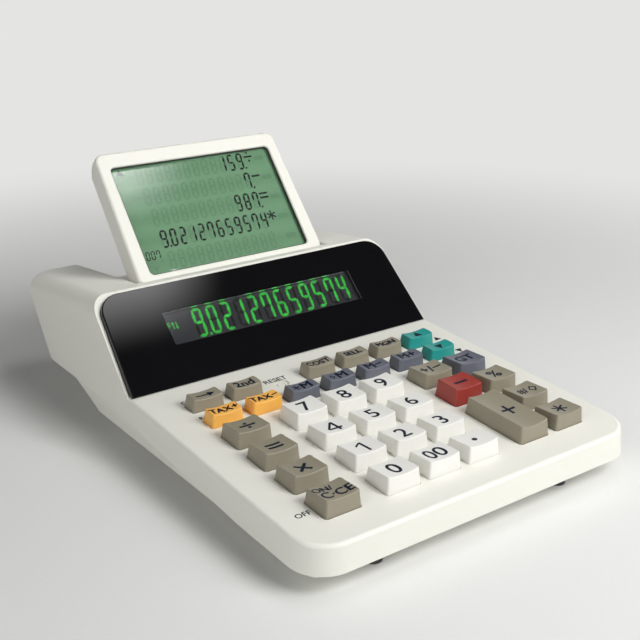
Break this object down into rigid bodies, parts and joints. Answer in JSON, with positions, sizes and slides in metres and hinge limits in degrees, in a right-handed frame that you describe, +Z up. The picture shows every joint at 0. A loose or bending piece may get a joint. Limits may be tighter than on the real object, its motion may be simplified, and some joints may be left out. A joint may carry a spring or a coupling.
{
  "type": "desktop calculator",
  "caption": "Desktop calculator with a sloped key field, a glossy panel for a tube display and a second display in a flip-up lid that folds into a recess.",
  "frame": {"origin": "centre of the footprint, at the height of the table under the feet", "axes": "+X to the user's right, +Y away from the user towards the rear housing, +Z up"},
  "size_m": [0.158, 0.237, 0.1056],
  "materials": {
    "case_white": "fine satin",
    "key_white": "satin",
    "key_taupe": "satin",
    "key_orange": "satin",
    "key_slate": "satin",
    "key_teal": "satin",
    "key_red": "satin",
    "panel_black": "polished",
    "window_smoke": "polished smoke tint",
    "tube_glass": "clear",
    "inner_black": "moulded",
    "lid_clear": "clear",
    "display_green": "matt film on glass",
    "board_green": "lacquered board",
    "steel": "plated",
    "mat_grey": "matt",
    "cell_jacket": "printed sleeve left plain",
    "contact_metal": "nickel plated",
    "foot_grey": "matt"
  },
  "bodies": {
    "case": {"batteries": "cell_jacket", "battery_contacts": "contact_metal", "board_chips": "inner_black", "board_screws": "steel", "case_screws": "steel", "display_panel": "panel_black", "display_tube": "tube_glass", "display_window": "window_smoke", "feet": "foot_grey", "hinge_pins": "steel", "key_board": "board_green", "key_mat": "mat_grey", "lower_case": "case_white", "power_jack": "inner_black", "tube_holder": "inner_black", "upper_case": "case_white"},
    "key_0": {"key_0": "key_white"},
    "key_00": {"key_00": "key_white"},
    "key_1": {"key_1": "key_white"},
    "key_2": {"key_2": "key_white"},
    "key_3": {"key_3": "key_white"},
    "key_4": {"key_4": "key_white"},
    "key_5": {"key_5": "key_white"},
    "key_6": {"key_6": "key_white"},
    "key_7": {"key_7": "key_white"},
    "key_8": {"key_8": "key_white"},
    "key_9": {"key_9": "key_white"},
    "key_backspace": {"key_backspace": "key_taupe"},
    "key_clear": {"key_clear": "key_taupe"},
    "key_cost": {"key_cost": "key_taupe"},
    "key_divide": {"key_divide": "key_taupe"},
    "key_down": {"key_down": "key_teal"},
    "key_equals": {"key_equals": "key_taupe"},
    "key_grand_total": {"key_grand_total": "key_slate"},
    "key_margin": {"key_margin": "key_taupe"},
    "key_memory_minus": {"key_memory_minus": "key_slate"},
    "key_memory_plus": {"key_memory_plus": "key_slate"},
    "key_memory_subtotal": {"key_memory_subtotal": "key_slate"},
    "key_memory_total": {"key_memory_total": "key_slate"},
    "key_minus": {"key_minus": "key_red"},
    "key_multiply": {"key_multiply": "key_taupe"},
    "key_percent": {"key_percent": "key_taupe"},
    "key_plus": {"key_plus": "key_taupe"},
    "key_point": {"key_point": "key_white"},
    "key_second": {"key_second": "key_taupe"},
    "key_sell": {"key_sell": "key_taupe"},
    "key_sign": {"key_sign": "key_taupe"},
    "key_subtotal": {"key_subtotal": "key_taupe"},
    "key_tax_minus": {"key_tax_minus": "key_orange"},
    "key_tax_plus": {"key_tax_plus": "key_orange"},
    "key_total": {"key_total": "key_taupe"},
    "key_up": {"key_up": "key_teal"},
    "display_lid": {"lid_frame": "case_white", "lid_cover": "case_white", "lid_window": "lid_clear", "lid_cell": "display_green", "lid_board": "board_green"},
    "battery_cover": {"battery_cover": "case_white"},
    "reset_button": {"reset_button": "case_white"}
  },
  "joints": [
    {"name": "key_0_press", "type": "slide", "parent": "case", "child": "key_0", "axis": [0, 0.0558, -0.9984], "range_m": [0, 0.0025], "stiffness_N_per_m": 240, "springref_m": -0.001},
    {"name": "key_00_press", "type": "slide", "parent": "case", "child": "key_00", "axis": [0, 0.0558, -0.9984], "range_m": [0, 0.0025], "stiffness_N_per_m": 240, "springref_m": -0.001},
    {"name": "key_1_press", "type": "slide", "parent": "case", "child": "key_1", "axis": [0, 0.0558, -0.9984], "range_m": [0, 0.0025], "stiffness_N_per_m": 240, "springref_m": -0.001},
    {"name": "key_2_press", "type": "slide", "parent": "case", "child": "key_2", "axis": [0, 0.0558, -0.9984], "range_m": [0, 0.0025], "stiffness_N_per_m": 240, "springref_m": -0.001},
    {"name": "key_3_press", "type": "slide", "parent": "case", "child": "key_3", "axis": [0, 0.0558, -0.9984], "range_m": [0, 0.0025], "stiffness_N_per_m": 240, "springref_m": -0.001},
    {"name": "key_4_press", "type": "slide", "parent": "case", "child": "key_4", "axis": [0, 0.0558, -0.9984], "range_m": [0, 0.0025], "stiffness_N_per_m": 240, "springref_m": -0.001},
    {"name": "key_5_press", "type": "slide", "parent": "case", "child": "key_5", "axis": [0, 0.0558, -0.9984], "range_m": [0, 0.0025], "stiffness_N_per_m": 240, "springref_m": -0.001},
    {"name": "key_6_press", "type": "slide", "parent": "case", "child": "key_6", "axis": [0, 0.0558, -0.9984], "range_m": [0, 0.0025], "stiffness_N_per_m": 240, "springref_m": -0.001},
    {"name": "key_7_press", "type": "slide", "parent": "case", "child": "key_7", "axis": [0, 0.0558, -0.9984], "range_m": [0, 0.0025], "stiffness_N_per_m": 240, "springref_m": -0.001},
    {"name": "key_8_press", "type": "slide", "parent": "case", "child": "key_8", "axis": [0, 0.0558, -0.9984], "range_m": [0, 0.0025], "stiffness_N_per_m": 240, "springref_m": -0.001},
    {"name": "key_9_press", "type": "slide", "parent": "case", "child": "key_9", "axis": [0, 0.0558, -0.9984], "range_m": [0, 0.0025], "stiffness_N_per_m": 240, "springref_m": -0.001},
    {"name": "key_backspace_press", "type": "slide", "parent": "case", "child": "key_backspace", "axis": [0, 0.0558, -0.9984], "range_m": [0, 0.0025], "stiffness_N_per_m": 240, "springref_m": -0.001},
    {"name": "key_clear_press", "type": "slide", "parent": "case", "child": "key_clear", "axis": [0, 0.0558, -0.9984], "range_m": [0, 0.0025], "stiffness_N_per_m": 240, "springref_m": -0.001},
    {"name": "key_cost_press", "type": "slide", "parent": "case", "child": "key_cost", "axis": [0, 0.0558, -0.9984], "range_m": [0, 0.0025], "stiffness_N_per_m": 240, "springref_m": -0.001},
    {"name": "key_divide_press", "type": "slide", "parent": "case", "child": "key_divide", "axis": [0, 0.0558, -0.9984], "range_m": [0, 0.0025], "stiffness_N_per_m": 240, "springref_m": -0.001},
    {"name": "key_down_press", "type": "slide", "parent": "case", "child": "key_down", "axis": [0, 0.0558, -0.9984], "range_m": [0, 0.0025], "stiffness_N_per_m": 240, "springref_m": -0.001},
    {"name": "key_equals_press", "type": "slide", "parent": "case", "child": "key_equals", "axis": [0, 0.0558, -0.9984], "range_m": [0, 0.0025], "stiffness_N_per_m": 240, "springref_m": -0.001},
    {"name": "key_grand_total_press", "type": "slide", "parent": "case", "child": "key_grand_total", "axis": [0, 0.0558, -0.9984], "range_m": [0, 0.0025], "stiffness_N_per_m": 240, "springref_m": -0.001},
    {"name": "key_margin_press", "type": "slide", "parent": "case", "child": "key_margin", "axis": [0, 0.0558, -0.9984], "range_m": [0, 0.0025], "stiffness_N_per_m": 240, "springref_m": -0.001},
    {"name": "key_memory_minus_press", "type": "slide", "parent": "case", "child": "key_memory_minus", "axis": [0, 0.0558, -0.9984], "range_m": [0, 0.0025], "stiffness_N_per_m": 240, "springref_m": -0.001},
    {"name": "key_memory_plus_press", "type": "slide", "parent": "case", "child": "key_memory_plus", "axis": [0, 0.0558, -0.9984], "range_m": [0, 0.0025], "stiffness_N_per_m": 240, "springref_m": -0.001},
    {"name": "key_memory_subtotal_press", "type": "slide", "parent": "case", "child": "key_memory_subtotal", "axis": [0, 0.0558, -0.9984], "range_m": [0, 0.0025], "stiffness_N_per_m": 240, "springref_m": -0.001},
    {"name": "key_memory_total_press", "type": "slide", "parent": "case", "child": "key_memory_total", "axis": [0, 0.0558, -0.9984], "range_m": [0, 0.0025], "stiffness_N_per_m": 240, "springref_m": -0.001},
    {"name": "key_minus_press", "type": "slide", "parent": "case", "child": "key_minus", "axis": [0, 0.0558, -0.9984], "range_m": [0, 0.0025], "stiffness_N_per_m": 240, "springref_m": -0.001},
    {"name": "key_multiply_press", "type": "slide", "parent": "case", "child": "key_multiply", "axis": [0, 0.0558, -0.9984], "range_m": [0, 0.0025], "stiffness_N_per_m": 240, "springref_m": -0.001},
    {"name": "key_percent_press", "type": "slide", "parent": "case", "child": "key_percent", "axis": [0, 0.0558, -0.9984], "range_m": [0, 0.0025], "stiffness_N_per_m": 240, "springref_m": -0.001},
    {"name": "key_plus_press", "type": "slide", "parent": "case", "child": "key_plus", "axis": [0, 0.0558, -0.9984], "range_m": [0, 0.0025], "stiffness_N_per_m": 240, "springref_m": -0.001},
    {"name": "key_point_press", "type": "slide", "parent": "case", "child": "key_point", "axis": [0, 0.0558, -0.9984], "range_m": [0, 0.0025], "stiffness_N_per_m": 240, "springref_m": -0.001},
    {"name": "key_second_press", "type": "slide", "parent": "case", "child": "key_second", "axis": [0, 0.0558, -0.9984], "range_m": [0, 0.0025], "stiffness_N_per_m": 240, "springref_m": -0.001},
    {"name": "key_sell_press", "type": "slide", "parent": "case", "child": "key_sell", "axis": [0, 0.0558, -0.9984], "range_m": [0, 0.0025], "stiffness_N_per_m": 240, "springref_m": -0.001},
    {"name": "key_sign_press", "type": "slide", "parent": "case", "child": "key_sign", "axis": [0, 0.0558, -0.9984], "range_m": [0, 0.0025], "stiffness_N_per_m": 240, "springref_m": -0.001},
    {"name": "key_subtotal_press", "type": "slide", "parent": "case", "child": "key_subtotal", "axis": [0, 0.0558, -0.9984], "range_m": [0, 0.0025], "stiffness_N_per_m": 240, "springref_m": -0.001},
    {"name": "key_tax_minus_press", "type": "slide", "parent": "case", "child": "key_tax_minus", "axis": [0, 0.0558, -0.9984], "range_m": [0, 0.0025], "stiffness_N_per_m": 240, "springref_m": -0.001},
    {"name": "key_tax_plus_press", "type": "slide", "parent": "case", "child": "key_tax_plus", "axis": [0, 0.0558, -0.9984], "range_m": [0, 0.0025], "stiffness_N_per_m": 240, "springref_m": -0.001},
    {"name": "key_total_press", "type": "slide", "parent": "case", "child": "key_total", "axis": [0, 0.0558, -0.9984], "range_m": [0, 0.0025], "stiffness_N_per_m": 240, "springref_m": -0.001},
    {"name": "key_up_press", "type": "slide", "parent": "case", "child": "key_up", "axis": [0, 0.0558, -0.9984], "range_m": [0, 0.0025], "stiffness_N_per_m": 240, "springref_m": -0.001},
    {"name": "reset_press", "type": "slide", "parent": "case", "child": "reset_button", "axis": [0, 0.0558, -0.9984], "range_m": [0, 0.0008], "stiffness_N_per_m": 400, "springref_m": -0.0006},
    {"name": "lid_fold", "type": "hinge", "parent": "case", "child": "display_lid", "pos_m": [0, 0.0529, 0.05338], "axis": [-1, 0, 0], "range_deg": [0, 56.8]},
    {"name": "battery_cover_slide", "type": "slide", "parent": "case", "child": "battery_cover", "axis": [0, 1, 0], "range_m": [0, 0.038]}
  ]
}
